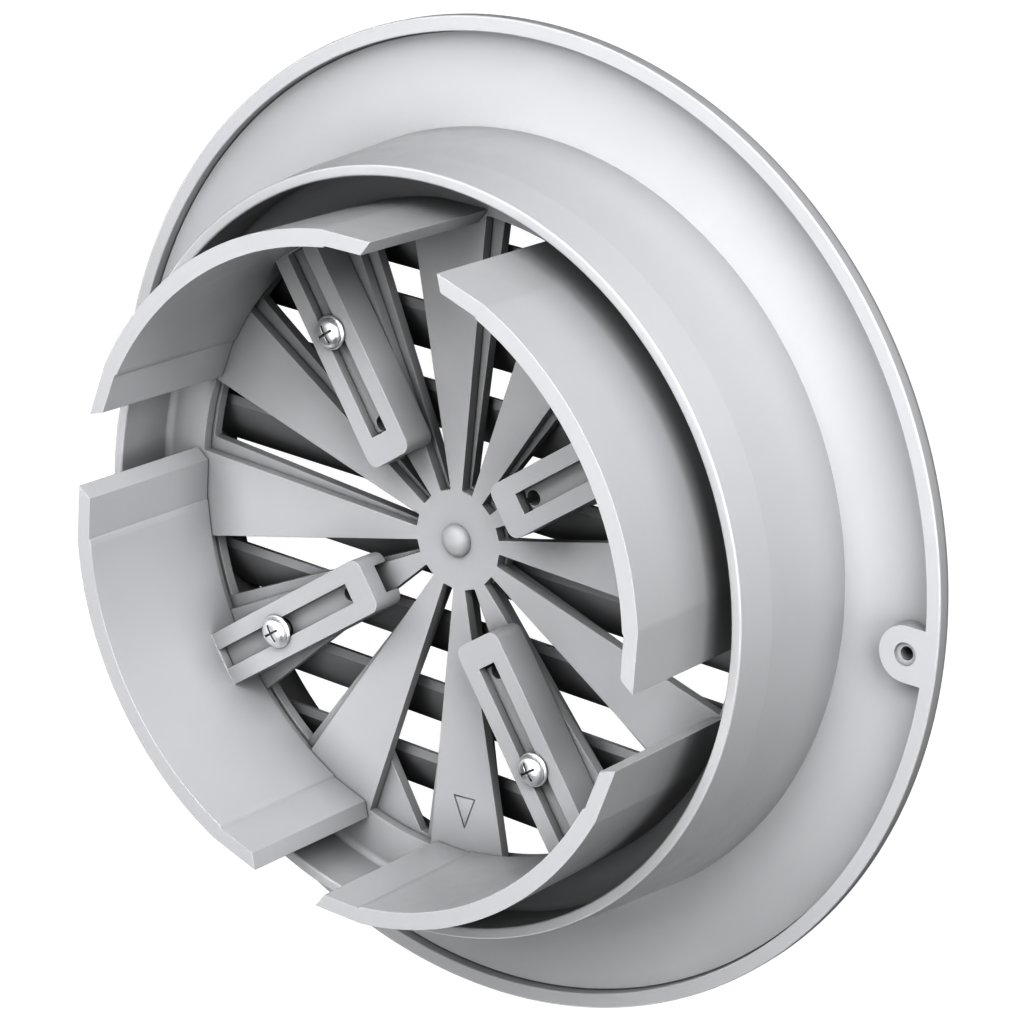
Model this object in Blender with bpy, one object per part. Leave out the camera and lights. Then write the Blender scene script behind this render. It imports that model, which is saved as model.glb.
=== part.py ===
"""Round ceiling air diffuser with a radial shutter and four sliding jaws that grip the duct.

The diffuser lies on its front face: +Z points up the duct and the origin is the middle of the front.
+X runs along the arm of one jaw, and the other jaws follow every quarter turn. Lengths are metres.
"""
import math

import bmesh
import bpy

MM = 0.001
GAP = 0.3 * MM                      # running and seating clearance between neighbours

# Housing: a flange with a dished back, a drafted neck and an inner shoulder.
FLANGE_R = 101.6 * MM
LIP_INNER_R = 98.5 * MM
LIP_FRONT_Z = 4.5 * MM              # edge where the lip meets the rounded front
LIP_BACK_Z = 6.8 * MM
DISH_R = 79.6 * MM                  # crease between the neck and the dish
DISH_OUTER_R = 98.2 * MM
DISH_DEPTH = 1.9 * MM
BEZEL_R = 92.0 * MM                 # outer edge of the flat part of the front
NECK_TOP_Z = 36.2 * MM
NECK_TOP_OUTER_R = 77.1 * MM
NECK_TOP_INNER_R = 74.85 * MM
COLLAR_Z = 27.3 * MM                # slight crease round the outside of the neck
COLLAR_R = 78.2 * MM
NECK_ROUNDING = 0.4 * MM
SHOULDER_Z = 18.0 * MM
SHOULDER_R = 74.0 * MM
SEAT_R = 76.25 * MM                 # bore just above the shoulder
GRILLE_BORE_R = 76.9 * MM
GRILLE_BORE_Z = 14.5 * MM

# Screw tabs on the flange, in line with the slats of the grille.
GRILLE_AZ = math.radians(53.4)
TAB_HOLE_AT = 94.7 * MM
TAB_R = 5.6 * MM
TAB_HOLE_R = 1.35 * MM
TAB_STEP_R = 2.3 * MM
TAB_STEP_DEPTH = 0.7 * MM

# Spider plate: twelve blades, and a rail under each of the four arms.
BLADES = 12
PITCH = 2 * math.pi / BLADES
SLOT_HALF = math.radians(7.0)
SPIDER_R = 75.9 * MM
SPIDER_Z = 18.3 * MM
SPIDER_TOP_Z = 20.5 * MM
SLOT_INNER_R = 10.3 * MM
SLOT_OUTER_R = 66.5 * MM
HUB_HOLE_R = 2.3 * MM
RAIL_START = 25.4 * MM
RAIL_END = 68.2 * MM
RAIL_HALF_WIDTH = 3.6 * MM
RAIL_TOP_Z = 26.2 * MM
CLAMP_AT = 47.1 * MM                # screw position in use
SPARE_AT = 26.8 * MM                # second screw position, for a smaller duct
CLAMP_HOLE_R = 2.0 * MM
SPARE_HOLE_R = 1.5 * MM

# Shutter disc, which turns under the spider.
SHUTTER_REST = math.radians(-2.3)
SHUTTER_R = 73.4 * MM
SHUTTER_Z = 15.7 * MM
SHUTTER_SLOT_INNER_R = 10.8 * MM
SHUTTER_SLOT_OUTER_R = 66.0 * MM
LUG_SLOT = 10                       # slot, counted from +X, that the finger lug reaches into
LUG_START_R = 53.2 * MM
LUG_SPAN = math.radians(12.4)

# Rivet and washer on the common axis.
RIVET_HEAD_R = 3.35 * MM
RIVET_HEAD_HEIGHT = 1.9 * MM
RIVET_SHANK_R = 2.0 * MM
RIVET_TAIL_R = 3.3 * MM
RIVET_TAIL_Z = 13.9 * MM
WASHER_R = 5.6 * MM
WASHER_HOLE_R = 2.3 * MM
WASHER_Z = 14.9 * MM
WASHER_THICKNESS = 0.5 * MM

# Jaws: a curved wall with bevelled ends, carried by a channel-shaped arm.
JAWS = 4
JAW_OUTER_R = 68.5 * MM
JAW_INNER_R = 65.0 * MM
JAW_BEND = math.radians(28.6)       # the wall runs straight from here to its ends
JAW_END_OUTER = (67.9 * MM, math.radians(38.3))
JAW_END_INNER = (64.9 * MM, math.radians(36.6))
JAW_STEP = 0.35 * MM
JAW_FOOT_Z = SPIDER_TOP_Z + GAP
JAW_TOP_Z = 56.5 * MM
ARM_START = 19.3 * MM
ARM_HALF_WIDTH = 5.7 * MM
ARM_CORNER_R = 2.2 * MM
ARM_TOP_Z = 28.5 * MM
ARM_PLATE = 2.0 * MM
ARM_WALL = 1.7 * MM
ARM_END_WALL = 1.2 * MM
ARM_SLOT_START = 25.0 * MM
ARM_SLOT_HALF_WIDTH = 2.1 * MM
NOTCH_HALF_WIDTH = 2.9 * MM
NOTCH_HEIGHT = 3.6 * MM

# Clamp screws.
SCREW_HEAD_R = 3.5 * MM
SCREW_HEAD_HEIGHT = 2.2 * MM
SCREW_SHANK_R = 1.65 * MM
SCREW_TIP_Z = 19.2 * MM
RECESS_HALF_LENGTH = 1.7 * MM
RECESS_HALF_WIDTH = 0.35 * MM
RECESS_DEPTH = 1.3 * MM

# Grille: a ring with curved slats across it.
RING_OUTER_R = 76.6 * MM
RING_INNER_R = 74.4 * MM
RING_FRONT_Z = 0.3 * MM
RING_BACK_Z = 14.2 * MM
SLAT_R = RING_INNER_R - GAP
SLAT_PITCH = 15.67 * MM
SLAT_FIRST = -75.1 * MM             # offset of the back edge of the first slat, which the ring cuts off
SLATS = 9
SLAT_BACK_Z = 13.5 * MM
SLAT_FRONT_Z = 4.5 * MM
SLAT_SWEEP = 12.9 * MM              # how far a slat leans from its back edge to its front edge
SLAT_LAND = 2.0 * MM
SLAT_THICKNESS = 1.2 * MM
SLAT_BOW = 0.9 * MM
SLAT_EDGE = 0.9 * MM                # thickness of the slat's two long edges

ROUND_STEPS = 96
SMALL_STEPS = 24

PLASTIC = (0.62, 0.64, 0.68)
SHUTTER_PLASTIC = (0.58, 0.60, 0.64)
STEEL = (0.80, 0.80, 0.80)


def clear_scene():
    for item in list(bpy.data.objects):
        bpy.data.objects.remove(item, do_unlink=True)


def make_material(name, colour, roughness, metallic):
    material = bpy.data.materials.new(name)
    material.use_nodes = True
    shader = material.node_tree.nodes["Principled BSDF"]
    shader.inputs["Base Color"].default_value = (*colour, 1.0)
    shader.inputs["Roughness"].default_value = roughness
    shader.inputs["Metallic"].default_value = metallic
    return material


def polar(radius, angle):
    return (radius * math.cos(angle), radius * math.sin(angle))


def arc(radius, start, end, steps, centre=(0.0, 0.0)):
    """Points along an arc, both ends included."""
    points = []
    for i in range(steps + 1):
        x, y = polar(radius, start + (end - start) * i / steps)
        points.append((centre[0] + x, centre[1] + y))
    return points


def circle(radius, steps, centre=(0.0, 0.0)):
    return arc(radius, 0.0, 2 * math.pi, steps, centre)[:-1]


def add_object(name, bm, material, angle=0.0, smooth=35.0):
    """Turn a bmesh into a named object with outward faces and smooth round sides."""
    bmesh.ops.recalc_face_normals(bm, faces=bm.faces)
    mesh = bpy.data.meshes.new(name)
    bm.to_mesh(mesh)
    bm.free()
    mesh.shade_smooth()
    mesh.set_sharp_from_angle(angle=math.radians(smooth))
    if material:
        mesh.materials.append(material)
    item = bpy.data.objects.new(name, mesh)
    item.rotation_euler.z = angle
    bpy.context.scene.collection.objects.link(item)
    return item


def revolve(profile, steps):
    """Turn a closed outline of (radius, z) points about Z. Points at radius 0 become poles."""
    bm = bmesh.new()
    columns = []
    for radius, z in profile:
        if radius == 0.0:
            columns.append([bm.verts.new((0.0, 0.0, z))] * steps)
        else:
            columns.append([bm.verts.new((x, y, z)) for x, y in circle(radius, steps)])
    for i in range(len(columns)):
        here = columns[i]
        after = columns[(i + 1) % len(columns)]
        for j in range(steps):
            k = (j + 1) % steps
            corners = list(dict.fromkeys((here[j], here[k], after[k], after[j])))
            if len(corners) > 2:
                bm.faces.new(corners)
    return bm


def prism(outline, low, high, holes=()):
    """Extrude a flat outline with optional holes from one height to another."""
    bm = bmesh.new()
    edges = []
    for loop in (outline, *holes):
        verts = [bm.verts.new((x, y, low)) for x, y in loop]
        edges += [bm.edges.new((verts[i - 1], verts[i])) for i in range(len(verts))]
    bmesh.ops.triangle_fill(bm, use_beauty=True, edges=edges)
    made = bmesh.ops.extrude_face_region(bm, geom=list(bm.faces))
    raised = [item for item in made["geom"] if isinstance(item, bmesh.types.BMVert)]
    bmesh.ops.translate(bm, verts=raised, vec=(0.0, 0.0, high - low))
    return bm


def rectangle(x0, x1, y0, y1):
    return [(x0, y0), (x1, y0), (x1, y1), (x0, y1)]


def rotated(points, angle):
    c, s = math.cos(angle), math.sin(angle)
    return [(x * c - y * s, x * s + y * c) for x, y in points]


def cut_and_join(base, tools):
    """Join or cut solids into the base, one after the other, and remove them."""
    for operation, tool in tools:
        modifier = base.modifiers.new("shape", "BOOLEAN")
        modifier.operation = operation
        modifier.object = tool
    bpy.context.view_layer.update()
    graph = bpy.context.evaluated_depsgraph_get()
    mesh = bpy.data.meshes.new_from_object(base.evaluated_get(graph))
    base.modifiers.clear()
    base.data = mesh
    for operation, tool in tools:
        bpy.data.objects.remove(tool, do_unlink=True)
    return base


def solid(outline, low, high, angle=0.0):
    """A plain extruded tool for cut_and_join."""
    return add_object("tool", prism(rotated(outline, angle), low, high), None)


def housing_profile():
    """Closed section through the housing, from the rim of the neck down its outside."""
    rounding = NECK_ROUNDING
    half_chord = (DISH_OUTER_R - DISH_R) / 2
    dish_radius = (half_chord ** 2 + DISH_DEPTH ** 2) / (2 * DISH_DEPTH)
    dish_half = math.asin(half_chord / dish_radius)
    dish_centre = ((DISH_R + DISH_OUTER_R) / 2, LIP_FRONT_Z - DISH_DEPTH + dish_radius)
    profile = [(NECK_TOP_INNER_R + rounding, NECK_TOP_Z), (NECK_TOP_OUTER_R - rounding, NECK_TOP_Z)]
    profile.append((NECK_TOP_OUTER_R, NECK_TOP_Z - rounding))
    profile.append((COLLAR_R, COLLAR_Z))
    down = -math.pi / 2
    profile += arc(dish_radius, down - dish_half, down + dish_half, 8, dish_centre)
    profile += [(LIP_INNER_R, LIP_BACK_Z - rounding), (LIP_INNER_R + rounding, LIP_BACK_Z)]
    profile += [(FLANGE_R - rounding, LIP_BACK_Z), (FLANGE_R, LIP_BACK_Z - rounding)]
    for i in range(6):
        turn = math.pi / 2 * i / 5
        radius = BEZEL_R + (FLANGE_R - BEZEL_R) * math.cos(turn)
        profile.append((radius, LIP_FRONT_Z * (1 - math.sin(turn))))
    profile += [(GRILLE_BORE_R + rounding, 0.0), (GRILLE_BORE_R, rounding)]
    profile += [(GRILLE_BORE_R, GRILLE_BORE_Z), (SHOULDER_R, GRILLE_BORE_Z)]
    profile += [(SHOULDER_R, SHOULDER_Z), (SEAT_R, SHOULDER_Z)]
    profile += [(SEAT_R, SPIDER_TOP_Z), (NECK_TOP_INNER_R, NECK_TOP_Z - rounding)]
    return profile


def tab_outline():
    """A tab that is round towards the neck and runs straight out into the lip."""
    outer = LIP_INNER_R + 1.2 * MM
    round_end = arc(TAB_R, math.pi / 2, 3 * math.pi / 2, 12, (TAB_HOLE_AT, 0.0))
    return [(outer, TAB_R)] + round_end + [(outer, -TAB_R)]


def make_housing(material):
    housing = add_object("flange_housing", revolve(housing_profile(), ROUND_STEPS), material)
    tools = []
    hole_centre = (TAB_HOLE_AT, 0.0)
    for angle in (GRILLE_AZ, GRILLE_AZ + math.pi):
        tools.append(("UNION", solid(tab_outline(), 2.2 * MM, LIP_BACK_Z, angle)))
        step = circle(TAB_STEP_R, SMALL_STEPS, hole_centre)
        hole = circle(TAB_HOLE_R, SMALL_STEPS, hole_centre)
        tools.append(("DIFFERENCE", solid(step, LIP_BACK_Z - TAB_STEP_DEPTH, LIP_BACK_Z + MM, angle)))
        tools.append(("DIFFERENCE", solid(hole, -MM, LIP_BACK_Z + MM, angle)))
    return cut_and_join(housing, tools)


def slot_outline(middle, inner, outer):
    """A wedge between two blades, with a round outer end."""
    end = arc(outer, middle - SLOT_HALF, middle + SLOT_HALF, 6)
    return [polar(inner, middle + SLOT_HALF), polar(inner, middle - SLOT_HALF)] + end


def make_spider(material):
    slots = [slot_outline(PITCH * (i + 0.5), SLOT_INNER_R, SLOT_OUTER_R) for i in range(BLADES)]
    hub = circle(HUB_HOLE_R, SMALL_STEPS)
    plate = prism(circle(SPIDER_R, ROUND_STEPS), SPIDER_Z, SPIDER_TOP_Z, [hub] + slots)
    spider = add_object("spider_plate", plate, material)
    tools = []
    for i in range(JAWS):
        angle = i * math.pi / 2
        rail = rectangle(RAIL_START, RAIL_END, -RAIL_HALF_WIDTH, RAIL_HALF_WIDTH)
        tools.append(("UNION", solid(rail, SPIDER_Z + 0.6 * MM, RAIL_TOP_Z, angle)))
        for centre, radius in ((CLAMP_AT, CLAMP_HOLE_R), (SPARE_AT, SPARE_HOLE_R)):
            hole = circle(radius, 16, (centre, 0.0))
            tools.append(("DIFFERENCE", solid(hole, SPIDER_Z - MM, RAIL_TOP_Z + MM, angle)))
    return cut_and_join(spider, tools)


def lug_slot_outline(middle):
    """The shutter slot whose clockwise edge carries the three-cornered finger lug."""
    first = middle - SLOT_HALF
    end = arc(SHUTTER_SLOT_OUTER_R, first + LUG_SPAN, middle + SLOT_HALF, 3)
    edge = [polar(SHUTTER_SLOT_INNER_R, middle + SLOT_HALF), polar(SHUTTER_SLOT_INNER_R, first)]
    return edge + [polar(LUG_START_R, first)] + end


def make_shutter(material):
    loops = [circle(WASHER_HOLE_R, SMALL_STEPS)]
    for i in range(BLADES):
        middle = PITCH * (i + 0.5)
        if i == LUG_SLOT:
            loops.append(lug_slot_outline(middle))
        else:
            loops.append(slot_outline(middle, SHUTTER_SLOT_INNER_R, SHUTTER_SLOT_OUTER_R))
    loops = [rotated(loop, SHUTTER_REST) for loop in loops]
    disc = prism(circle(SHUTTER_R, ROUND_STEPS), SHUTTER_Z, SPIDER_Z - GAP, loops)
    return add_object("shutter_disc", disc, material)


def make_rivet(material):
    base = SPIDER_TOP_Z + GAP
    dome = []
    for i in range(7):
        turn = math.pi / 2 * i / 6
        dome.append((RIVET_HEAD_R * math.sin(turn), base + RIVET_HEAD_HEIGHT * math.cos(turn)))
    tail_top = WASHER_Z - GAP
    profile = dome + [(RIVET_SHANK_R, base), (RIVET_SHANK_R, tail_top), (RIVET_TAIL_R, tail_top)]
    profile += [(RIVET_TAIL_R * 0.85, RIVET_TAIL_Z), (0.0, RIVET_TAIL_Z)]
    return add_object("pivot_rivet", revolve(profile, SMALL_STEPS), material)


def make_washer(material):
    top = WASHER_Z + WASHER_THICKNESS
    profile = [(WASHER_HOLE_R, top), (WASHER_R, top), (WASHER_R, WASHER_Z), (WASHER_HOLE_R, WASHER_Z)]
    return add_object("rivet_washer", revolve(profile, SMALL_STEPS), material)


def jaw_outline():
    """Plan of the curved wall, with straight bevelled ends and a small step inside each bend."""
    outer = arc(JAW_OUTER_R, -JAW_BEND, JAW_BEND, 18)
    inner = arc(JAW_INNER_R, JAW_BEND, -JAW_BEND, 18)
    step = math.radians(0.4)
    stepped = JAW_INNER_R + JAW_STEP
    end_outer = polar(*JAW_END_OUTER)
    end_inner = polar(*JAW_END_INNER)
    above = [end_outer, end_inner, polar(stepped, JAW_BEND + step)]
    below = [(x, -y) for x, y in reversed(above)]
    return outer + above + inner + below


def arm_outline():
    """Plan of the arm: rounded at its inner end, running out into the wall."""
    corner = (ARM_START + ARM_CORNER_R, ARM_HALF_WIDTH - ARM_CORNER_R)
    upper = arc(ARM_CORNER_R, math.pi / 2, math.pi, 5, corner)
    lower = [(x, -y) for x, y in reversed(upper)]
    out = JAW_INNER_R + 1.0 * MM
    return [(out, ARM_HALF_WIDTH)] + upper + lower + [(out, -ARM_HALF_WIDTH)]


def make_jaw_mesh(material):
    """One jaw along +X: wall, arm, the channel under the arm, the slot and the end notch."""
    jaw = add_object("jaw", prism(jaw_outline(), JAW_FOOT_Z, JAW_TOP_Z), material)
    beyond = JAW_OUTER_R + MM
    inside = ARM_HALF_WIDTH - ARM_WALL
    below = JAW_FOOT_Z - MM
    channel = rectangle(ARM_START + ARM_END_WALL, beyond, -inside, inside)
    slot = rectangle(ARM_SLOT_START, JAW_INNER_R - GAP, -ARM_SLOT_HALF_WIDTH, ARM_SLOT_HALF_WIDTH)
    notch = rectangle(ARM_START - MM, ARM_START + 2 * ARM_WALL, -NOTCH_HALF_WIDTH, NOTCH_HALF_WIDTH)
    tools = [
        ("UNION", solid(arm_outline(), JAW_FOOT_Z, ARM_TOP_Z)),
        ("DIFFERENCE", solid(channel, below, ARM_TOP_Z - ARM_PLATE)),
        ("DIFFERENCE", solid(slot, below, ARM_TOP_Z + MM)),
        ("DIFFERENCE", solid(notch, below, JAW_FOOT_Z + NOTCH_HEIGHT)),
    ]
    jaw = cut_and_join(jaw, tools)
    mesh = jaw.data
    bpy.data.objects.remove(jaw, do_unlink=True)
    return mesh


def make_screw_mesh(material):
    """A pan-head screw on its own axis, with a crossed recess in the head."""
    base = ARM_TOP_Z + GAP
    head = []
    for i in range(6):
        turn = math.pi / 2 * i / 5
        head.append((SCREW_HEAD_R * math.sin(turn), base + SCREW_HEAD_HEIGHT * math.cos(turn) ** 0.6))
    tip = [(SCREW_SHANK_R, base), (SCREW_SHANK_R, SCREW_TIP_Z + MM), (0.8 * MM, SCREW_TIP_Z)]
    profile = head + tip + [(0.0, SCREW_TIP_Z)]
    screw = add_object("screw", revolve(profile, SMALL_STEPS), material)
    floor = base + SCREW_HEAD_HEIGHT - RECESS_DEPTH
    reach = RECESS_HALF_LENGTH
    width = RECESS_HALF_WIDTH
    cross = [(reach, width), (width, width), (width, reach)]
    cross += [(-width, reach), (-width, width), (-reach, width)]
    cross += [(-x, -y) for x, y in cross]
    screw = cut_and_join(screw, [("DIFFERENCE", solid(cross, floor, ARM_TOP_Z + 4 * MM))])
    mesh = screw.data
    bpy.data.objects.remove(screw, do_unlink=True)
    return mesh


def place_copies(name, mesh, distance):
    """Four copies of a mesh, one on each arm, each its own object."""
    for i in range(JAWS):
        angle = i * math.pi / 2
        item = bpy.data.objects.new(f"{name}_{i + 1}", mesh)
        item.location = (*polar(distance, angle), 0.0)
        item.rotation_euler.z = angle
        bpy.context.scene.collection.objects.link(item)


def make_ring(material):
    edge = 0.5 * MM
    profile = [(RING_INNER_R, RING_BACK_Z), (RING_OUTER_R, RING_BACK_Z)]
    profile += [(RING_OUTER_R, RING_FRONT_Z + edge), (RING_OUTER_R - edge, RING_FRONT_Z)]
    profile += [(RING_INNER_R + edge, RING_FRONT_Z), (RING_INNER_R, RING_FRONT_Z + edge)]
    return add_object("grille_ring", revolve(profile, ROUND_STEPS), material)


def slat_section():
    """Section across a slat as (offset, z): a flat land at the back, then a bowed blade."""
    face = []
    steps = 6
    for i in range(steps + 1):
        t = i / steps
        offset = SLAT_LAND + (SLAT_SWEEP - SLAT_LAND) * t + SLAT_BOW * math.sin(math.pi * t)
        face.append((offset, SLAT_BACK_Z + (SLAT_FRONT_Z - SLAT_BACK_Z) * t))
    back = [(u - SLAT_THICKNESS, z - 0.8 * SLAT_THICKNESS) for u, z in reversed(face[1:-1])]
    front = [(SLAT_SWEEP - SLAT_EDGE, SLAT_FRONT_Z)]
    heel = [(0.0, SLAT_BACK_Z - SLAT_EDGE)]
    return [(0.0, SLAT_BACK_Z)] + face + front + back + heel


def make_slat(index, material):
    """A slat across the ring, with its ends following the ring's round wall."""
    first = SLAT_FIRST + index * SLAT_PITCH
    limit = SLAT_R - GAP
    bm = bmesh.new()
    ends = ([], [])
    for offset, z in slat_section():
        across = max(-limit, first + offset)
        half_length = math.sqrt(SLAT_R ** 2 - across ** 2)
        for side, verts in zip((-1, 1), ends):
            x, y = rotated([(side * half_length, -across)], GRILLE_AZ)[0]
            verts.append(bm.verts.new((x, y, z)))
    count = len(ends[0])
    for i in range(count):
        j = (i + 1) % count
        bm.faces.new((ends[0][i], ends[0][j], ends[1][j], ends[1][i]))
    for verts in ends:
        bm.faces.new(verts)
    return add_object(f"louver_slat_{index + 1}", bm, material)


def main():
    clear_scene()
    body = make_material("body_plastic", PLASTIC, 0.42, 0.0)
    inner = make_material("shutter_plastic", SHUTTER_PLASTIC, 0.45, 0.0)
    steel = make_material("zinc_steel", STEEL, 0.25, 1.0)
    make_housing(body)
    make_spider(body)
    make_shutter(inner)
    make_rivet(body)
    make_washer(steel)
    place_copies("collar_jaw", make_jaw_mesh(body), 0.0)
    place_copies("clamp_screw", make_screw_mesh(steel), CLAMP_AT)
    make_ring(body)
    for index in range(SLATS):
        make_slat(index, body)


main()
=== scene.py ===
"""Looks of the ceiling air diffuser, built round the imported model. Lengths are metres."""
import math

import bmesh
import bpy
from mathutils import Matrix, Vector


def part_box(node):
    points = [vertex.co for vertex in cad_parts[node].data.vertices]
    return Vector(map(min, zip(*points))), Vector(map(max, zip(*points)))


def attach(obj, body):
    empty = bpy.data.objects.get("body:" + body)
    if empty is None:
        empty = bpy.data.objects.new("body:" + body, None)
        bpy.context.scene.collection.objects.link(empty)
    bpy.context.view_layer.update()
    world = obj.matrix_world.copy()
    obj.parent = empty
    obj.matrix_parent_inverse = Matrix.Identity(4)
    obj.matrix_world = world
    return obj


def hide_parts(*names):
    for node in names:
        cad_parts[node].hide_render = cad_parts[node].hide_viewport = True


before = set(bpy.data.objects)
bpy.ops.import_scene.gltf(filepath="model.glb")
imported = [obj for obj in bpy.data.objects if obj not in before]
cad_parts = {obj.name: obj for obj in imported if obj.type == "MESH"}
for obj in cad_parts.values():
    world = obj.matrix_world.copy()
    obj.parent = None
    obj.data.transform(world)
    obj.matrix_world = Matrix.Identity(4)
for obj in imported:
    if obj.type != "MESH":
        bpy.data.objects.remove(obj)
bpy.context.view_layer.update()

MM = 0.001
STEPS = 240                         # around a large circle
SMALL_STEPS = 48
QUARTER = math.pi / 2
FRAME_BODY = "frame"
SMOOTH_ANGLE = 38.0                 # degrees, above which an edge is shaded sharp
MERGE_DISTANCE = 0.002 * MM
BEVEL_ANGLE = 40.0                  # degrees, above which an edge is bevelled

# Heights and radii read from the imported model.
_, HOUSING_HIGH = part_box("flange_housing")
SPIDER_LOW, SPIDER_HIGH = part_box("spider_plate")
SHUTTER_LOW, SHUTTER_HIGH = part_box("shutter_disc")
RIVET_LOW, RIVET_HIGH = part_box("pivot_rivet")
WASHER_LOW, WASHER_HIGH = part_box("rivet_washer")
JAW_LOW, JAW_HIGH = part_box("collar_jaw_1")
SCREW_LOW, SCREW_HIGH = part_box("clamp_screw_1")
RING_LOW, RING_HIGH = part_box("grille_ring")
SLAT_LOW, SLAT_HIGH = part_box("louver_slat_5")

FLANGE_R = HOUSING_HIGH.x
NECK_TOP_Z = HOUSING_HIGH.z
SPIDER_Z = SPIDER_LOW.z
RAIL_TOP_Z = SPIDER_HIGH.z
SPIDER_R = SPIDER_HIGH.x
JAW_FOOT_Z = JAW_LOW.z
JAW_TOP_Z = JAW_HIGH.z
JAW_OUTER_R = JAW_HIGH.x
ARM_START = JAW_LOW.x
SCREW_TOP_Z = SCREW_HIGH.z
SCREW_HEAD_R = (SCREW_HIGH.x - SCREW_LOW.x) / 2
CLAMP_AT = (SCREW_HIGH.x + SCREW_LOW.x) / 2

# Housing.
LIP_WIDTH = 3.1 * MM
LIP_FRONT_Z = 4.5 * MM
LIP_BACK_Z = 6.8 * MM
LIP_EDGE = 0.4 * MM                 # rounding of its outer edge
GROOVE_WIDTH = 0.3 * MM
GROOVE_DEPTH = 0.5 * MM             # thin line between the lip and the dish
DISH_R = 79.6 * MM
DISH_DEPTH = 1.9 * MM
BEZEL_R = 92.0 * MM
COLLAR_Z = 27.3 * MM                # slight crease round the outside of the neck
COLLAR_R = 78.2 * MM
COLLAR_ROUNDING = 3.0 * MM
NECK_OUTER_R = 77.1 * MM
NECK_INNER_R = 74.85 * MM
NECK_SEAT_R = 76.25 * MM
NECK_RIM = 0.45 * MM                # rounding of the neck's rim
SHOULDER_R = 74.0 * MM
SHOULDER_Z = 18.0 * MM
SHOULDER_ROUNDING = 0.2 * MM
FINE_ROUNDING = 0.3 * MM
FRONT_ROUNDING = 0.5 * MM           # on the front edges of the housing and the grille's ring
BEZEL_STEPS = 16
GRILLE_BORE_R = 76.9 * MM
GRILLE_BORE_Z = 14.5 * MM
FILLET_R = 1.5 * MM                 # where the spider meets the neck
FILLET_LAP = 0.1 * MM               # steps by which its curve, then its back, run into the wall
FILLET_SINK = 0.05 * MM             # how far its foot runs into the spider
GRILLE_AZ = math.radians(53.4)
TAB_HOLE_AT = 94.7 * MM
TAB_R = 5.6 * MM
TAB_HOLE_R = 1.35 * MM
TAB_STEP_R = 2.3 * MM
TAB_STEP_DEPTH = 0.7 * MM
TAB_FOOT_Z = 2.2 * MM
TAB_LAP = 1.2 * MM                  # how far a tab runs into the lip

# Spider and shutter.
BLADES = 12
PITCH = 2 * math.pi / BLADES
SLOT_HALF = math.radians(7.0)
SPIDER_TOP_Z = 20.5 * MM
SLOT_INNER_R = 10.3 * MM
SLOT_OUTER_R = 66.5 * MM
HUB_HOLE_R = 2.3 * MM
RAIL_START = 25.4 * MM
RAIL_END = 68.2 * MM
RAIL_HALF_WIDTH = 3.6 * MM
RAIL_FOOT = 0.6 * MM                # how far the rail's foot is above the spider's underside
SPARE_AT = 26.8 * MM                # second screw position, not in use
CLAMP_HOLE_R = 2.0 * MM
SPARE_HOLE_R = 1.5 * MM
SHUTTER_REST = math.radians(-2.3)
SHUTTER_SLOT_INNER_R = 10.8 * MM
SHUTTER_SLOT_OUTER_R = 66.0 * MM
LUG_SLOT = 10                       # slot, counted from 0 at +X, that the finger lug reaches into
LUG_START_R = 53.2 * MM
LUG_SPAN = math.radians(12.4)
MARK = [(45.3 * MM, -29.2 * MM), (47.9 * MM, -24.9 * MM), (52.1 * MM, -30.5 * MM)]
MARK_LINE = 0.36 * MM
MARK_DEPTH = 0.5 * MM
PLATE_EDGE = 0.12 * MM              # bevel on the edges of the spider and the shutter

# Rivet and washer.
RIVET_SHANK_R = 2.0 * MM
RIVET_DOME_GAP = 0.05 * MM          # between the dome and the spider
RIVET_TAIL_GAP = 0.1 * MM           # between the tail and the washer
RIVET_TAIL_STEP = 0.05 * MM         # how much smaller the tail is than the dome
RIVET_TAIL_TAPER = 0.85
RIVET_STEPS = 14
WASHER_EDGE = 0.12 * MM

# Jaws.
JAWS = 4
JAW_INNER_R = 65.0 * MM
JAW_BEND = math.radians(28.6)
JAW_END_OUTER = (67.9 * MM, math.radians(38.3))
JAW_END_INNER = (64.9 * MM, math.radians(36.6))
JAW_STEP = 0.35 * MM
JAW_STEP_ANGLE = math.radians(0.4)
ARM_LAP = 1.0 * MM                  # how far an arm runs into the wall of its jaw
ARM_HALF_WIDTH = 5.7 * MM
ARM_CORNER_R = 2.2 * MM
ARM_TOP_Z = 28.5 * MM
ARM_PLATE = 2.0 * MM
ARM_WALL = 1.7 * MM
ARM_END_WALL = 1.2 * MM
ARM_SLOT_START = 25.0 * MM
ARM_SLOT_END = 64.7 * MM
ARM_SLOT_HALF_WIDTH = 2.1 * MM
NOTCH_HALF_WIDTH = 2.9 * MM
NOTCH_HEIGHT = 3.6 * MM
JAW_EDGE = 0.08 * MM

# Clamp screws: a dome on a flat rim, with a crossed recess.
RIM_THICKNESS = 0.75 * MM
DOME_R = 3.0 * MM
DOME_FULLNESS = 0.7                 # below 1 swells the dome's shoulder
HEAD_GAP = 0.02 * MM                # between the head and the arm
HEAD_STEPS = 13
SHANK_R = 1.65 * MM
TIP_R = 0.8 * MM
RECESS_HALF_LENGTH = 1.9 * MM
RECESS_HALF_WIDTH = 0.2 * MM
RECESS_DEPTH = 1.2 * MM
SCREW_EDGE = 0.04 * MM

# Grille.
SLAT_R = 74.1 * MM                  # round ends of the slats
RING_GAP = 0.3 * MM                 # between the slats and the ring
SLAT_PITCH = 15.67 * MM
SLAT_FIRST = -75.1 * MM             # the ring cuts off the back edge of the first slat
SLATS = 9
SLAT_SWEEP = 12.9 * MM
SLAT_LAND = 2.0 * MM
SLAT_THICKNESS = 1.2 * MM
SLAT_BOW = 0.9 * MM
SLAT_EDGE = 0.9 * MM
SLAT_STEPS = 20

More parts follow.
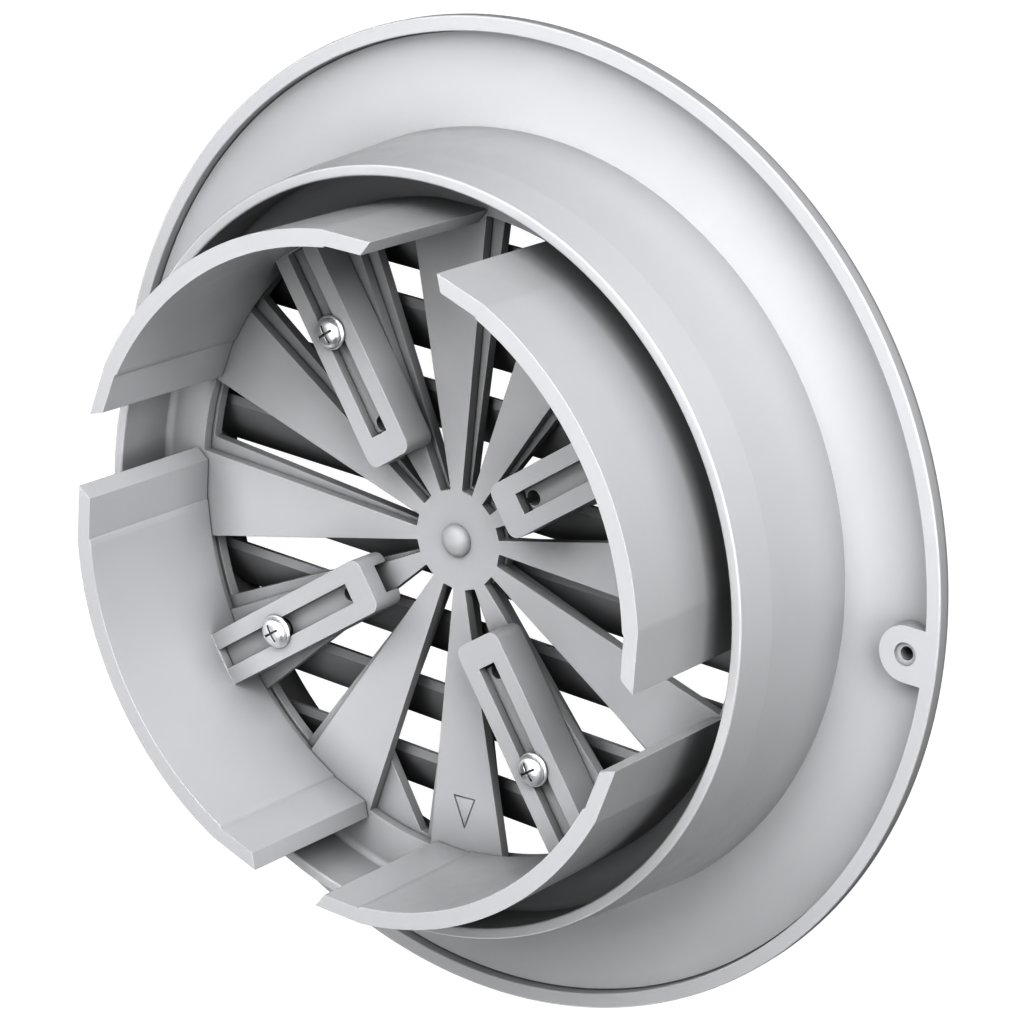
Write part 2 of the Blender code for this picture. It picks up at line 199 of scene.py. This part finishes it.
# Materials. The colours carry painted shade near other surfaces: a shade is how near another surface has
# to be to darken this one, and its floor is the share of the colour that is left in the deepest corner.
BODY_COLOUR = (0.322, 0.325, 0.333)
SHUTTER_COLOUR = (0.307, 0.31, 0.318)
STEEL_COLOUR = (0.86, 0.865, 0.875)
PLASTIC_SHADE = 11.0 * MM
PLASTIC_SHADE_FLOOR = 0.4
STEEL_SHADE = 0.9 * MM
STEEL_SHADE_FLOOR = 0.02
SHADE_RANGE = (0.2, 0.7)            # openness at the floor, and where the darkening begins

# Camera, as azimuth and elevation seen from its target.
CAMERA_TARGET = Vector((-1.2 * MM, 1.45 * MM, 3.4 * MM))
CAMERA_AZIMUTH = math.radians(85.0)
CAMERA_ELEVATION = math.radians(50.05)
CAMERA_ROLL = math.radians(-111.07)
CAMERA_DISTANCE = 747.75 * MM
CAMERA_LENS = 131.3                 # millimetres, on a 36 mm sensor

# Soft boxes: name, azimuth and elevation in degrees, power in watts.
SOFT_BOXES = [
    ("key", 100.0, 24.0, 9.5),
    ("key_high", 140.0, 46.0, 7.0),
    ("side", 60.0, 25.0, 5.5),
    ("top", 0.0, 88.0, 4.0),
    ("high", 100.0, 65.0, 2.5),
    ("back", 190.0, 45.0, 3.0),
    ("fill_front", 310.0, 7.0, 5.5),
    ("fill_back", 245.0, 7.0, 6.0),
]
LIGHT_TARGET = Vector((0.0, 0.0, 20 * MM))
LIGHT_DISTANCE = 0.9
LIGHT_SIZE = 0.45
SKY_LIGHT = 0.06
FLOOR_SIZE = 12.0
FLOOR_Z = -0.05 * MM
VIEW_GAMMA = 0.68


# ---------------------------------------------------------------- outlines and meshes

def polar(radius, angle):
    return (radius * math.cos(angle), radius * math.sin(angle))


def arc(radius, start, end, steps, centre=(0.0, 0.0)):
    points = []
    for i in range(steps + 1):
        x, y = polar(radius, start + (end - start) * i / steps)
        points.append((centre[0] + x, centre[1] + y))
    return points


def circle(radius, steps, centre=(0.0, 0.0)):
    return arc(radius, 0.0, 2 * math.pi, steps, centre)[:-1]


def rotated(points, angle):
    c, s = math.cos(angle), math.sin(angle)
    return [(x * c - y * s, x * s + y * c) for x, y in points]


def rectangle(x0, x1, y0, y1):
    return [(x0, y0), (x1, y0), (x1, y1), (x0, y1)]


def filleted(corners, steps=4):
    """Closed outline from (x, y, radius) corners, each rounded with an arc of its radius."""
    points = []
    count = len(corners)
    for i, (x, y, radius) in enumerate(corners):
        here = Vector((x, y))
        if radius == 0.0:
            points.append((x, y))
            continue
        before = (Vector(corners[i - 1][:2]) - here).normalized()
        after = (Vector(corners[(i + 1) % count][:2]) - here).normalized()
        half = before.angle(after) / 2
        reach = radius / math.tan(half)
        centre = here + (before + after).normalized() * radius / math.sin(half)
        first = here + before * reach - centre
        last = here + after * reach - centre
        sweep = first.angle_signed(last)
        for k in range(steps + 1):
            spot = centre + Matrix.Rotation(-sweep * k / steps, 2) @ first
            points.append((spot.x, spot.y))
    return points


def revolve(profile, steps=STEPS):
    """Turn a closed outline of (radius, z) points about Z. Points at radius 0 become poles."""
    bm = bmesh.new()
    columns = []
    for radius, z in profile:
        if radius == 0.0:
            columns.append([bm.verts.new((0.0, 0.0, z))] * steps)
        else:
            columns.append([bm.verts.new((x, y, z)) for x, y in circle(radius, steps)])
    for i in range(len(columns)):
        here = columns[i]
        after = columns[(i + 1) % len(columns)]
        for j in range(steps):
            k = (j + 1) % steps
            corners = list(dict.fromkeys((here[j], here[k], after[k], after[j])))
            if len(corners) > 2:
                bm.faces.new(corners)
    return bm


def prism(outline, low, high, holes=()):
    """Extrude a flat outline with optional holes from one height to another."""
    bm = bmesh.new()
    edges = []
    for loop in (outline, *holes):
        verts = [bm.verts.new((x, y, low)) for x, y in loop]
        edges += [bm.edges.new((verts[i - 1], verts[i])) for i in range(len(verts))]
    bmesh.ops.triangle_fill(bm, use_beauty=True, edges=edges)
    made = bmesh.ops.extrude_face_region(bm, geom=list(bm.faces))
    raised = [item for item in made["geom"] if isinstance(item, bmesh.types.BMVert)]
    bmesh.ops.translate(bm, verts=raised, vec=(0.0, 0.0, high - low))
    return bm


def to_mesh(name, bm, smooth=SMOOTH_ANGLE):
    bmesh.ops.recalc_face_normals(bm, faces=bm.faces)
    mesh = bpy.data.meshes.new(name)
    bm.to_mesh(mesh)
    bm.free()
    mesh.shade_smooth()
    mesh.set_sharp_from_angle(angle=math.radians(smooth))
    return mesh


def add_object(name, mesh, angle=0.0):
    item = bpy.data.objects.new(name, mesh)
    item.rotation_euler.z = angle
    bpy.context.scene.collection.objects.link(item)
    return item


def tool(outline, low, high, angle=0.0):
    """A plain extruded solid for shape()."""
    return add_object("tool", to_mesh("tool", prism(rotated(outline, angle), low, high)))


def apply_modifiers(item):
    bpy.context.view_layer.update()
    graph = bpy.context.evaluated_depsgraph_get()
    mesh = bpy.data.meshes.new_from_object(item.evaluated_get(graph))
    item.modifiers.clear()
    item.data = mesh


def shape(mesh, tools=(), bevel=0.0):
    """Join and cut a mesh with tools, break its sharp edges, and return the finished mesh."""
    item = add_object("work", mesh)
    for operation, part in tools:
        modifier = item.modifiers.new("shape", "BOOLEAN")
        modifier.operation = operation
        modifier.object = part
    apply_modifiers(item)
    for _, part in tools:
        bpy.data.objects.remove(part, do_unlink=True)
    bm = bmesh.new()
    bm.from_mesh(item.data)
    bmesh.ops.remove_doubles(bm, verts=bm.verts, dist=MERGE_DISTANCE)
    bm.to_mesh(item.data)
    bm.free()
    item.data.shade_smooth()
    item.data.set_sharp_from_angle(angle=math.radians(SMOOTH_ANGLE))
    if bevel:
        modifier = item.modifiers.new("edge", "BEVEL")
        modifier.width = bevel
        modifier.segments = 2
        modifier.limit_method = "ANGLE"
        modifier.angle_limit = math.radians(BEVEL_ANGLE)
        modifier.use_clamp_overlap = False
        modifier.miter_outer = "MITER_ARC"
    modifier = item.modifiers.new("normals", "WEIGHTED_NORMAL")
    modifier.keep_sharp = True
    apply_modifiers(item)
    finished = item.data
    bpy.data.objects.remove(item, do_unlink=True)
    return finished


def place(name, mesh, body, node, material, angle=0.0, at=(0.0, 0.0, 0.0)):
    """Put a finished mesh in the scene in place of a CAD node."""
    piece = add_object(name, mesh, angle)
    piece.location = at
    if not mesh.materials:
        mesh.materials.append(material)
    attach(piece, body)
    if node:
        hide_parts(node)
    return piece


# ---------------------------------------------------------------- materials

def new_material(name):
    """A node material, with the parts of it that the functions below work on."""
    material = bpy.data.materials.new(name)
    material.use_nodes = True
    nodes = material.node_tree.nodes
    return material, nodes, material.node_tree.links, nodes["Principled BSDF"]


def noise(nodes, links, coordinate, scale, detail=3.0):
    node = nodes.new("ShaderNodeTexNoise")
    node.inputs["Scale"].default_value = scale
    node.inputs["Detail"].default_value = detail
    links.new(coordinate, node.inputs["Vector"])
    return node.outputs["Fac"]


def spread(nodes, links, value, low, high):
    """Map a noise value, which mostly lies between 0.3 and 0.7, to a range."""
    node = nodes.new("ShaderNodeMapRange")
    node.inputs["From Min"].default_value = 0.3
    node.inputs["From Max"].default_value = 0.7
    node.inputs["To Min"].default_value = low
    node.inputs["To Max"].default_value = high
    links.new(value, node.inputs["Value"])
    return node.outputs["Result"]


def painted_crevice_shade(nodes, links, reach, open_colour, floor):
    """Painted shade: darken a colour where other surfaces stand within reach, down to a share of it, in
    place of the shade that falls in corners, gaps and recesses.
    """
    nearby = nodes.new("ShaderNodeAmbientOcclusion")
    nearby.samples = 1
    nearby.inputs["Distance"].default_value = reach
    level = nodes.new("ShaderNodeMapRange")
    level.inputs["From Min"].default_value = SHADE_RANGE[0]
    level.inputs["From Max"].default_value = SHADE_RANGE[1]
    level.inputs["To Min"].default_value = floor
    level.inputs["To Max"].default_value = 1.0
    links.new(nearby.outputs["AO"], level.inputs["Value"])
    shade = nodes.new("ShaderNodeMixRGB")
    shade.blend_type = "MULTIPLY"
    shade.inputs["Fac"].default_value = 1.0
    links.new(open_colour, shade.inputs["Color1"])
    links.new(level.outputs["Result"], shade.inputs["Color2"])
    return shade.outputs["Color"]


def plastic(name, colour, roughness=0.38, grain=0.04):
    """Satin moulded plastic: a faint cloud in its colour, painted shade in its corners and gaps, a fine
    grain and a soft sheen.
    """
    material, nodes, links, shader = new_material(name)
    coordinate = nodes.new("ShaderNodeTexCoord").outputs["Object"]
    cloud = noise(nodes, links, coordinate, scale=45.0)
    tint = nodes.new("ShaderNodeMixRGB")
    tint.inputs["Color1"].default_value = (*(0.965 * c for c in colour), 1.0)
    tint.inputs["Color2"].default_value = (*(min(1.0, 1.03 * c) for c in colour), 1.0)
    links.new(cloud, tint.inputs["Fac"])
    shaded = painted_crevice_shade(nodes, links, PLASTIC_SHADE, tint.outputs["Color"], PLASTIC_SHADE_FLOOR)
    links.new(shaded, shader.inputs["Base Color"])
    sheen = noise(nodes, links, coordinate, scale=160.0, detail=4.0)
    links.new(spread(nodes, links, sheen, roughness - 0.04, roughness + 0.05), shader.inputs["Roughness"])
    fine = noise(nodes, links, coordinate, scale=2600.0, detail=2.0)
    bump = nodes.new("ShaderNodeBump")
    bump.inputs["Strength"].default_value = grain
    bump.inputs["Distance"].default_value = 0.05 * MM
    links.new(fine, bump.inputs["Height"])
    links.new(bump.outputs["Normal"], shader.inputs["Normal"])
    shader.inputs["IOR"].default_value = 1.47
    return material


def zinc_steel():
    """Bright plated steel with faint turning marks, and painted shade darkening it in recesses such as
    the screw's cross.
    """
    material, nodes, links, shader = new_material("zinc_steel")
    coordinate = nodes.new("ShaderNodeTexCoord").outputs["Object"]
    shader.inputs["Metallic"].default_value = 1.0
    silver = nodes.new("ShaderNodeRGB").outputs["Color"]
    silver.default_value = (*STEEL_COLOUR, 1.0)
    shaded = painted_crevice_shade(nodes, links, STEEL_SHADE, silver, STEEL_SHADE_FLOOR)
    links.new(shaded, shader.inputs["Base Color"])
    smear = noise(nodes, links, coordinate, scale=420.0, detail=4.0)
    links.new(spread(nodes, links, smear, 0.34, 0.44), shader.inputs["Roughness"])
    rings = nodes.new("ShaderNodeTexWave")
    rings.wave_type = "RINGS"
    rings.rings_direction = "Z"
    rings.inputs["Scale"].default_value = 900.0
    rings.inputs["Distortion"].default_value = 1.5
    links.new(coordinate, rings.inputs["Vector"])
    bump = nodes.new("ShaderNodeBump")
    bump.inputs["Strength"].default_value = 0.05
    bump.inputs["Distance"].default_value = 0.02 * MM
    links.new(rings.outputs["Fac"], bump.inputs["Height"])
    links.new(bump.outputs["Normal"], shader.inputs["Normal"])
    return material


def pale_floor():
    """A white studio surface that throws little light back at the underside of the object."""
    material, nodes, links, shader = new_material("studio_floor")
    shader.inputs["Base Color"].default_value = (0.05, 0.05, 0.05, 1.0)
    shader.inputs["Roughness"].default_value = 1.0
    shader.inputs["Specular IOR Level"].default_value = 0.0
    shader.inputs["Emission Color"].default_value = (1.0, 1.0, 1.0, 1.0)
    rays = nodes.new("ShaderNodeLightPath")
    links.new(rays.outputs["Is Camera Ray"], shader.inputs["Emission Strength"])
    return material


# ---------------------------------------------------------------- housing

def housing_section():
    """Closed section through the housing, from the rim of the neck down its outside."""
    lip_inner = FLANGE_R - LIP_WIDTH
    groove = lip_inner - GROOVE_WIDTH
    half_chord = (groove - DISH_R) / 2
    dish_radius = (half_chord ** 2 + DISH_DEPTH ** 2) / (2 * DISH_DEPTH)
    dish_half = math.asin(half_chord / dish_radius)
    dish_centre = ((DISH_R + groove) / 2, LIP_FRONT_Z - DISH_DEPTH + dish_radius)
    down = -QUARTER
    dish = arc(dish_radius, down - dish_half, down + dish_half, 24, dish_centre)
    corners = [(NECK_INNER_R, NECK_TOP_Z, NECK_RIM), (NECK_OUTER_R, NECK_TOP_Z, NECK_RIM)]
    corners += [(COLLAR_R, COLLAR_Z, COLLAR_ROUNDING)]
    corners += [(r, z, 0.0) for r, z in dish]
    corners += [(groove, LIP_FRONT_Z - GROOVE_DEPTH, 0.0), (lip_inner, LIP_FRONT_Z - GROOVE_DEPTH, 0.0)]
    corners += [(lip_inner, LIP_BACK_Z, FINE_ROUNDING), (FLANGE_R, LIP_BACK_Z, LIP_EDGE)]
    for i in range(BEZEL_STEPS + 1):
        turn = QUARTER * i / BEZEL_STEPS
        radius = BEZEL_R + (FLANGE_R - BEZEL_R) * math.cos(turn)
        corners.append((radius, LIP_FRONT_Z * (1 - math.sin(turn)), 0.0))
    corners += [(GRILLE_BORE_R, 0.0, FRONT_ROUNDING), (GRILLE_BORE_R, GRILLE_BORE_Z, 0.0)]
    corners += [(SHOULDER_R, GRILLE_BORE_Z, FINE_ROUNDING), (SHOULDER_R, SHOULDER_Z, SHOULDER_ROUNDING)]
    corners += [(NECK_SEAT_R, SHOULDER_Z, 0.0), (NECK_SEAT_R, SPIDER_TOP_Z, 0.0)]
    return filleted(corners)


def tab_outline():
    """A tab that is round towards the neck and runs straight out into the lip."""
    outer = FLANGE_R - LIP_WIDTH + TAB_LAP
    round_end = arc(TAB_R, QUARTER, 3 * QUARTER, 32, (TAB_HOLE_AT, 0.0))
    return [(outer, TAB_R)] + round_end + [(outer, -TAB_R)]


def make_housing(material):
    mesh = to_mesh("housing_shell", revolve(housing_section()))
    tools = []
    hole_centre = (TAB_HOLE_AT, 0.0)
    for angle in (GRILLE_AZ, GRILLE_AZ + math.pi):
        tools.append(("UNION", tool(tab_outline(), TAB_FOOT_Z, LIP_BACK_Z, angle)))
        step = circle(TAB_STEP_R, SMALL_STEPS, hole_centre)
        hole = circle(TAB_HOLE_R, SMALL_STEPS, hole_centre)
        tools.append(("DIFFERENCE", tool(step, LIP_BACK_Z - TAB_STEP_DEPTH, LIP_BACK_Z + MM, angle)))
        tools.append(("DIFFERENCE", tool(hole, -MM, LIP_BACK_Z + MM, angle)))
    place("housing_shell", shape(mesh, tools), FRAME_BODY, "flange_housing", material)


def make_neck_fillet(material):
    """The moulded fillet where the spider meets the wall of the neck."""
    low = SPIDER_TOP_Z - FILLET_SINK
    slope = (NECK_SEAT_R - NECK_INNER_R) / (NECK_TOP_Z - SPIDER_TOP_Z)
    wall = NECK_SEAT_R - slope * FILLET_R + FILLET_LAP
    inner = wall - FILLET_R
    outer = wall + FILLET_LAP
    top = SPIDER_TOP_Z + FILLET_R
    curve = arc(FILLET_R, 0.0, -QUARTER, 10, (inner, top))
    section = [(outer, top)] + curve + [(inner, low), (outer, low)]
    mesh = to_mesh("neck_fillet", revolve(section))
    place("neck_fillet", mesh, FRAME_BODY, None, material)


# ---------------------------------------------------------------- spider and shutter

def slot_outline(middle, inner, outer):
    """A wedge between two blades, with a round outer end."""
    end = arc(outer, middle - SLOT_HALF, middle + SLOT_HALF, 12)
    return [polar(inner, middle + SLOT_HALF), polar(inner, middle - SLOT_HALF)] + end


def mark_tools():
    """Three thin grooves along the sides of a plain triangle."""
    tools = []
    for i in range(3):
        start, end = Vector(MARK[i - 1]), Vector(MARK[i])
        along = (end - start).normalized() * MARK_LINE / 2
        side = Vector((-along.y, along.x))
        start = start - along
        end = end + along
        line = [start + side, start - side, end - side, end + side]
        outline = [(p.x, p.y) for p in line]
        tools.append(("DIFFERENCE", tool(outline, SPIDER_TOP_Z - MARK_DEPTH, SPIDER_TOP_Z + MM)))
    return tools


def make_spider(material):
    slots = [slot_outline(PITCH * (i + 0.5), SLOT_INNER_R, SLOT_OUTER_R) for i in range(BLADES)]
    hub = circle(HUB_HOLE_R, SMALL_STEPS)
    plate = prism(circle(SPIDER_R, STEPS), SPIDER_Z, SPIDER_TOP_Z, [hub] + slots)
    tools = []
    for i in range(JAWS):
        angle = i * QUARTER
        rail = rectangle(RAIL_START, RAIL_END, -RAIL_HALF_WIDTH, RAIL_HALF_WIDTH)
        tools.append(("UNION", tool(rail, SPIDER_Z + RAIL_FOOT, RAIL_TOP_Z, angle)))
        for centre, radius in ((CLAMP_AT, CLAMP_HOLE_R), (SPARE_AT, SPARE_HOLE_R)):
            hole = circle(radius, SMALL_STEPS, (centre, 0.0))
            tools.append(("DIFFERENCE", tool(hole, SPIDER_Z - MM, RAIL_TOP_Z + MM, angle)))
    mesh = shape(to_mesh("spider_moulding", plate), tools, bevel=PLATE_EDGE)
    mesh = shape(mesh, mark_tools())
    place("spider_moulding", mesh, FRAME_BODY, "spider_plate", material)


def lug_slot_outline(middle):
    """The shutter slot whose clockwise edge carries the three-cornered finger lug."""
    first = middle - SLOT_HALF
    end = arc(SHUTTER_SLOT_OUTER_R, first + LUG_SPAN, middle + SLOT_HALF, 3)
    edge = [polar(SHUTTER_SLOT_INNER_R, middle + SLOT_HALF), polar(SHUTTER_SLOT_INNER_R, first)]
    return edge + [polar(LUG_START_R, first)] + end


def make_shutter(material):
    loops = [circle(HUB_HOLE_R, SMALL_STEPS)]
    for i in range(BLADES):
        middle = PITCH * (i + 0.5)
        if i == LUG_SLOT:
            loops.append(lug_slot_outline(middle))
        else:
            loops.append(slot_outline(middle, SHUTTER_SLOT_INNER_R, SHUTTER_SLOT_OUTER_R))
    loops = [rotated(loop, SHUTTER_REST) for loop in loops]
    disc = prism(circle(SHUTTER_HIGH.x, STEPS), SHUTTER_LOW.z, SHUTTER_HIGH.z, loops)
    mesh = shape(to_mesh("shutter_moulding", disc), bevel=PLATE_EDGE)
    place("shutter_moulding", mesh, "shutter", "shutter_disc", material)


# ---------------------------------------------------------------- rivet and washer

def make_rivet(material):
    head_r = RIVET_HIGH.x
    base = SPIDER_TOP_Z + RIVET_DOME_GAP
    height = RIVET_HIGH.z - base
    dome = []
    for i in range(RIVET_STEPS + 1):
        turn = QUARTER * i / RIVET_STEPS
        dome.append((head_r * math.sin(turn), base + height * math.cos(turn)))
    tail_top = WASHER_LOW.z - RIVET_TAIL_GAP
    tail_r = head_r - RIVET_TAIL_STEP
    section = dome + [(RIVET_SHANK_R, base), (RIVET_SHANK_R, tail_top), (tail_r, tail_top)]
    section += [(RIVET_TAIL_TAPER * tail_r, RIVET_LOW.z), (0.0, RIVET_LOW.z)]
    mesh = to_mesh("rivet_dome", revolve(section, SMALL_STEPS))
    place("rivet_dome", mesh, FRAME_BODY, "pivot_rivet", material)


def make_washer(material):
    edge = WASHER_EDGE
    corners = [(HUB_HOLE_R, WASHER_HIGH.z, edge), (WASHER_HIGH.x, WASHER_HIGH.z, edge)]
    corners += [(WASHER_HIGH.x, WASHER_LOW.z, edge), (HUB_HOLE_R, WASHER_LOW.z, edge)]
    mesh = to_mesh("washer_ring", revolve(filleted(corners), SMALL_STEPS))
    place("washer_ring", mesh, FRAME_BODY, "rivet_washer", material)


# ---------------------------------------------------------------- jaws

def jaw_outline():
    """Plan of the curved wall, with straight bevelled ends and a small step inside each bend."""
    outer = arc(JAW_OUTER_R, -JAW_BEND, JAW_BEND, 48)
    inner = arc(JAW_INNER_R, JAW_BEND, -JAW_BEND, 48)
    stepped = JAW_INNER_R + JAW_STEP
    above = [polar(*JAW_END_OUTER), polar(*JAW_END_INNER), polar(stepped, JAW_BEND + JAW_STEP_ANGLE)]
    below = [(x, -y) for x, y in reversed(above)]
    return outer + above + inner + below


def arm_outline():
    """Plan of the arm: rounded at its inner end, running out into the wall."""
    corner = (ARM_START + ARM_CORNER_R, ARM_HALF_WIDTH - ARM_CORNER_R)
    upper = arc(ARM_CORNER_R, QUARTER, math.pi, 10, corner)
    lower = [(x, -y) for x, y in reversed(upper)]
    out = JAW_INNER_R + ARM_LAP
    return [(out, ARM_HALF_WIDTH)] + upper + lower + [(out, -ARM_HALF_WIDTH)]


def make_jaws(material):
    """Four copies of one jaw: wall, arm, the channel under the arm, the slot and the end notch."""
    beyond = JAW_OUTER_R + MM
    inside = ARM_HALF_WIDTH - ARM_WALL
    below = JAW_FOOT_Z - MM
    channel = rectangle(ARM_START + ARM_END_WALL, beyond, -inside, inside)
    slot = rectangle(ARM_SLOT_START, ARM_SLOT_END, -ARM_SLOT_HALF_WIDTH, ARM_SLOT_HALF_WIDTH)
    notch = rectangle(ARM_START - MM, ARM_START + 2 * ARM_WALL, -NOTCH_HALF_WIDTH, NOTCH_HALF_WIDTH)
    tools = [
        ("UNION", tool(arm_outline(), JAW_FOOT_Z, ARM_TOP_Z)),
        ("DIFFERENCE", tool(channel, below, ARM_TOP_Z - ARM_PLATE)),
        ("DIFFERENCE", tool(slot, below, ARM_TOP_Z + MM)),
        ("DIFFERENCE", tool(notch, below, JAW_FOOT_Z + NOTCH_HEIGHT)),
    ]
    wall = to_mesh("jaw_moulding", prism(jaw_outline(), JAW_FOOT_Z, JAW_TOP_Z))
    mesh = shape(wall, tools, bevel=JAW_EDGE)
    for i in range(JAWS):
        name = f"jaw_moulding_{i + 1}"
        place(name, mesh, f"jaw_{i + 1}", f"collar_jaw_{i + 1}", material, i * QUARTER)


# ---------------------------------------------------------------- screws

def make_screws(material):
    """Four pan-head screws, one on each arm."""
    base = ARM_TOP_Z + HEAD_GAP
    step = base + RIM_THICKNESS
    head = []
    for i in range(HEAD_STEPS + 1):
        turn = QUARTER * i / HEAD_STEPS
        rise = max(0.0, math.cos(turn)) ** DOME_FULLNESS
        head.append((DOME_R * math.sin(turn), step + (SCREW_TOP_Z - step) * rise))
    edge = RIM_THICKNESS / 2
    rounded = arc(edge, QUARTER, -QUARTER, 8, (SCREW_HEAD_R - edge, base + edge))
    tip = [(SHANK_R, base), (SHANK_R, SCREW_LOW.z + MM), (TIP_R, SCREW_LOW.z), (0.0, SCREW_LOW.z)]
    body = to_mesh("screw_pan_head", revolve(head + rounded + tip, SMALL_STEPS))
    reach = RECESS_HALF_LENGTH
    width = RECESS_HALF_WIDTH
    floor = SCREW_TOP_Z - RECESS_DEPTH
    cross = [(reach, width), (width, width), (width, reach)]
    cross += [(-width, reach), (-width, width), (-reach, width)]
    cross += [(-x, -y) for x, y in cross]
    mesh = shape(body, [("DIFFERENCE", tool(cross, floor, SCREW_TOP_Z + MM))], bevel=SCREW_EDGE)
    for i in range(JAWS):
        at = (*polar(CLAMP_AT, i * QUARTER), 0.0)
        name = f"screw_pan_head_{i + 1}"
        place(name, mesh, FRAME_BODY, f"clamp_screw_{i + 1}", material, i * QUARTER, at)


# ---------------------------------------------------------------- grille

def make_ring(material):
    inner = SLAT_R + RING_GAP
    outer = RING_HIGH.x
    corners = [(inner, RING_HIGH.z, FINE_ROUNDING), (outer, RING_HIGH.z, FINE_ROUNDING)]
    corners += [(outer, RING_LOW.z, FRONT_ROUNDING), (inner, RING_LOW.z, FRONT_ROUNDING)]
    mesh = to_mesh("grille_rim", revolve(filleted(corners)))
    place("grille_rim", mesh, FRAME_BODY, "grille_ring", material)


def slat_section():
    """Section across a slat as (offset, z): a flat land at the back, then a bowed blade."""
    back_z, front_z = SLAT_HIGH.z, SLAT_LOW.z
    face = []
    for i in range(SLAT_STEPS + 1):
        t = i / SLAT_STEPS
        offset = SLAT_LAND + (SLAT_SWEEP - SLAT_LAND) * t + SLAT_BOW * math.sin(math.pi * t)
        face.append((offset, back_z + (front_z - back_z) * t))
    under = [(u - SLAT_THICKNESS, z - 0.8 * SLAT_THICKNESS) for u, z in reversed(face[2:-2])]
    front = [(SLAT_SWEEP - SLAT_EDGE, front_z)]
    heel = [(0.0, back_z - SLAT_EDGE)]
    return [(0.0, back_z)] + face + front + under + heel


def make_slat(index, material):
    """A slat across the ring, with its ends following the ring's round wall."""
    first = SLAT_FIRST + index * SLAT_PITCH
    limit = SLAT_R - RING_GAP
    bm = bmesh.new()
    ends = ([], [])
    for offset, z in slat_section():
        across = max(-limit, first + offset)
        half_length = math.sqrt(SLAT_R ** 2 - across ** 2)
        for side, verts in zip((-1, 1), ends):
            x, y = rotated([(side * half_length, -across)], GRILLE_AZ)[0]
            verts.append(bm.verts.new((x, y, z)))
    count = len(ends[0])
    for i in range(count):
        j = (i + 1) % count
        bm.faces.new((ends[0][i], ends[0][j], ends[1][j], ends[1][i]))
    for verts in ends:
        bm.faces.new(verts)
    name = f"slat_blade_{index + 1}"
    mesh = to_mesh(name, bm, 30.0)
    place(name, mesh, FRAME_BODY, f"louver_slat_{index + 1}", material)


# ---------------------------------------------------------------- studio

def direction(azimuth, elevation):
    """Unit vector towards an azimuth from +X and a height above the floor."""
    flat = math.cos(elevation)
    return Vector((flat * math.cos(azimuth), flat * math.sin(azimuth), math.sin(elevation)))


def add_camera():
    """Stand the camera at its azimuth and elevation, aim it at the target and roll it."""
    back = direction(CAMERA_AZIMUTH, CAMERA_ELEVATION)
    level = Vector((0.0, 0.0, 1.0)).cross(back).normalized()
    up = back.cross(level)
    right = level * math.cos(CAMERA_ROLL) + up * math.sin(CAMERA_ROLL)
    top = back.cross(right)
    data = bpy.data.cameras.new("camera")
    data.lens = CAMERA_LENS
    data.sensor_width = 36.0
    data.clip_end = 50.0
    camera = bpy.data.objects.new("camera", data)
    turn = Matrix((right, top, back)).transposed().to_4x4()
    camera.matrix_world = Matrix.Translation(CAMERA_TARGET + back * CAMERA_DISTANCE) @ turn
    bpy.context.scene.collection.objects.link(camera)
    bpy.context.scene.camera = camera


def add_light(name, azimuth, elevation, power):
    """A square soft light, aimed at the middle of the object."""
    data = bpy.data.lights.new(name, "AREA")
    data.size = LIGHT_SIZE
    data.energy = power
    light = bpy.data.objects.new(name, data)
    away = direction(math.radians(azimuth), math.radians(elevation))
    light.location = away * LIGHT_DISTANCE + LIGHT_TARGET
    light.rotation_euler = away.to_track_quat("Z", "Y").to_euler()
    bpy.context.scene.collection.objects.link(light)


def add_floor():
    """A wide surface just under the object."""
    bm = bmesh.new()
    bmesh.ops.create_grid(bm, x_segments=1, y_segments=1, size=FLOOR_SIZE)
    floor = add_object("studio_floor", to_mesh("studio_floor", bm))
    floor.location.z = FLOOR_Z
    floor.data.materials.append(pale_floor())


def add_world(strength):
    """A dim light from all round, which the camera sees as plain white."""
    world = bpy.data.worlds.new("studio")
    world.use_nodes = True
    tree = world.node_tree
    background = tree.nodes["Background"]
    background.inputs["Color"].default_value = (1.0, 1.0, 1.0, 1.0)
    rays = tree.nodes.new("ShaderNodeLightPath")
    level = tree.nodes.new("ShaderNodeMapRange")
    level.inputs["To Min"].default_value = strength
    level.inputs["To Max"].default_value = 1.0
    tree.links.new(rays.outputs["Is Camera Ray"], level.inputs["Value"])
    tree.links.new(level.outputs["Result"], background.inputs["Strength"])
    bpy.context.scene.world = world


def add_looks():
    """Plain colours, with the deeper shadows of a product picture."""
    view = bpy.context.scene.view_settings
    view.view_transform = "Standard"
    view.gamma = VIEW_GAMMA


def main():
    body = plastic("body_plastic", BODY_COLOUR)
    shutter = plastic("shutter_plastic", SHUTTER_COLOUR)
    steel = zinc_steel()
    add_camera()
    make_housing(body)
    make_neck_fillet(body)
    make_spider(body)
    make_shutter(shutter)
    make_rivet(body)
    make_washer(steel)
    make_jaws(body)
    make_screws(steel)
    make_ring(shutter)
    for index in range(SLATS):
        make_slat(index, shutter)
    add_floor()
    add_world(SKY_LIGHT)
    for name, azimuth, elevation, power in SOFT_BOXES:
        add_light(name, azimuth, elevation, power)
    add_looks()


main()
